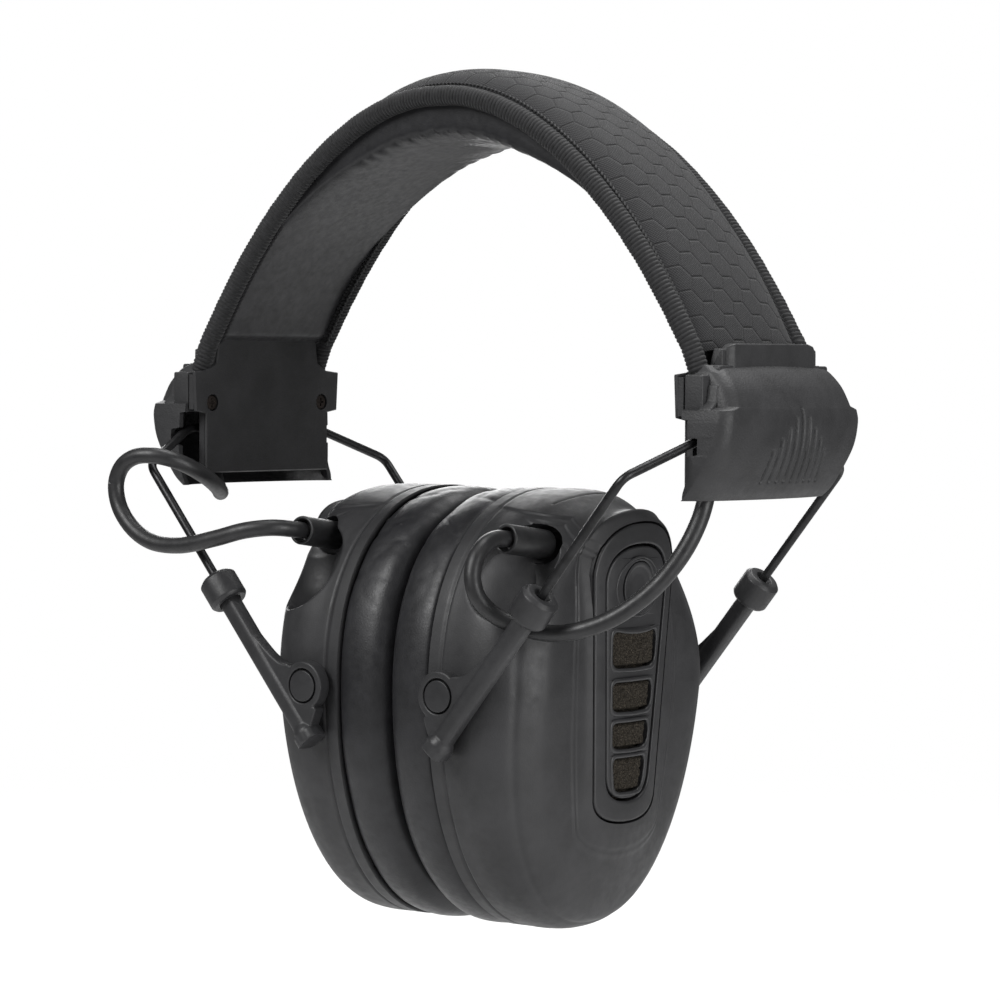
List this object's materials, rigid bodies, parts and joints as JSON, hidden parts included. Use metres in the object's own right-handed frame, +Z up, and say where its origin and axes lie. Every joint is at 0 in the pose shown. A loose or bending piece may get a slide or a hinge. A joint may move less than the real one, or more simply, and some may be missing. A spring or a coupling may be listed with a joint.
{
  "type": "earmuff hearing protector",
  "caption": "Electronic over-ear hearing protector: padded sprung headband, folding wire forks with sliding arms, and tilting cushioned ear cups.",
  "frame": {"origin": "underside of the crown pad at the top of the arch, where it rests on the head", "axes": "+X from the left cup to the right cup, -Y to the front, +Z up along the longest extent; Y is the shortest extent"},
  "size_m": [0.18, 0.1027, 0.2068],
  "materials": {
    "woven_cover": "black woven cloth with a faint hexagon pattern",
    "leatherette": "smooth black leatherette over foam",
    "ribbed_piping": "ribbed black edge binding",
    "black_spring_steel": "satin black coated spring steel",
    "black_screw_steel": "black oxide, slightly worn at the recess",
    "housing_plastic": "moulded plastic with a fine pebbled grain",
    "arm_plastic": "satin moulded nylon",
    "soft_touch_plastic": "soft-touch moulded plastic with a fine grain",
    "panel_plastic": "smooth satin plastic",
    "open_cell_foam": "speckled grey-brown open cell foam",
    "cable_rubber": "smooth satin black rubber",
    "circuit_board": "green solder mask",
    "metal_can": "plain drawn metal can",
    "battery_jacket": "plain grey jacket without print"
  },
  "bodies": {
    "headband": {"band_cover": "woven_cover", "crown_pad": "leatherette", "band_spring": "black_spring_steel", "front_piping": "ribbed_piping", "rear_piping": "ribbed_piping", "right_inner_plate": "housing_plastic", "right_yoke_cover": "housing_plastic", "right_wire_clip": "arm_plastic", "right_front_screw": "black_screw_steel", "right_rear_screw": "black_screw_steel", "left_inner_plate": "housing_plastic", "left_yoke_cover": "housing_plastic", "left_wire_clip": "arm_plastic", "left_front_screw": "black_screw_steel", "left_rear_screw": "black_screw_steel", "right_cable": "cable_rubber", "left_cable": "cable_rubber"},
    "right_fork": {"right_fork_wire": "black_spring_steel"},
    "right_arms": {"right_front_arm": "arm_plastic", "right_rear_arm": "arm_plastic", "right_front_collar": "arm_plastic", "right_rear_collar": "arm_plastic", "right_front_pivot_pin": "panel_plastic", "right_rear_pivot_pin": "panel_plastic"},
    "right_cup": {"right_cup_shell": "soft_touch_plastic", "right_base_plate": "soft_touch_plastic", "right_cushion": "leatherette", "right_ear_foam": "open_cell_foam", "right_speaker": "metal_can", "right_grommet": "cable_rubber", "right_bezel": "panel_plastic", "right_panel": "panel_plastic", "right_windscreen": "open_cell_foam", "right_microphone": "metal_can", "circuit_board": "circuit_board"},
    "right_button": {"right_power_button": "panel_plastic"},
    "left_fork": {"left_fork_wire": "black_spring_steel"},
    "left_arms": {"left_front_arm": "arm_plastic", "left_rear_arm": "arm_plastic", "left_front_collar": "arm_plastic", "left_rear_collar": "arm_plastic", "left_front_pivot_pin": "panel_plastic", "left_rear_pivot_pin": "panel_plastic"},
    "left_cup": {"left_cup_shell": "soft_touch_plastic", "left_base_plate": "soft_touch_plastic", "left_cushion": "leatherette", "left_ear_foam": "open_cell_foam", "left_speaker": "metal_can", "left_grommet": "cable_rubber", "left_bezel": "panel_plastic", "left_panel": "panel_plastic", "left_windscreen": "open_cell_foam", "left_microphone": "metal_can", "front_battery": "battery_jacket", "rear_battery": "battery_jacket"},
    "left_button": {"left_power_button": "panel_plastic"}
  },
  "joints": [
    {"name": "right_fork_hinge", "type": "hinge", "parent": "headband", "child": "right_fork", "pos_m": [0.0786, 0, -0.0695], "axis": [0, -1, 0], "range_deg": [0, 30], "deforming": ["right_cable"]},
    {"name": "right_arm_slide", "type": "slide", "parent": "right_fork", "child": "right_arms", "axis": [0.6334, 0, 0.7738], "range_m": [0, 0.026], "deforming": ["right_cable"]},
    {"name": "right_cup_tilt", "type": "hinge", "parent": "right_arms", "child": "right_cup", "pos_m": [0.0206, 0, -0.1296], "axis": [0, 1, 0], "range_deg": [-8, 8], "deforming": ["right_cable", "right_cushion"]},
    {"name": "right_button_press", "type": "slide", "parent": "right_cup", "child": "right_button", "axis": [-0.998, 0, 0.0628], "range_m": [0, 0.0008], "stiffness_N_per_m": 400},
    {"name": "left_fork_hinge", "type": "hinge", "parent": "headband", "child": "left_fork", "pos_m": [-0.0786, 0, -0.0695], "axis": [0, 1, 0], "range_deg": [0, 30], "deforming": ["left_cable"]},
    {"name": "left_arm_slide", "type": "slide", "parent": "left_fork", "child": "left_arms", "axis": [-0.6334, 0, 0.7738], "range_m": [0, 0.026], "deforming": ["left_cable"]},
    {"name": "left_cup_tilt", "type": "hinge", "parent": "left_arms", "child": "left_cup", "pos_m": [-0.0206, 0, -0.1296], "axis": [0, -1, 0], "range_deg": [-8, 8], "deforming": ["left_cable", "left_cushion"]},
    {"name": "left_button_press", "type": "slide", "parent": "left_cup", "child": "left_button", "axis": [0.998, 0, 0.0628], "range_m": [0, 0.0008], "stiffness_N_per_m": 400}
  ]
}
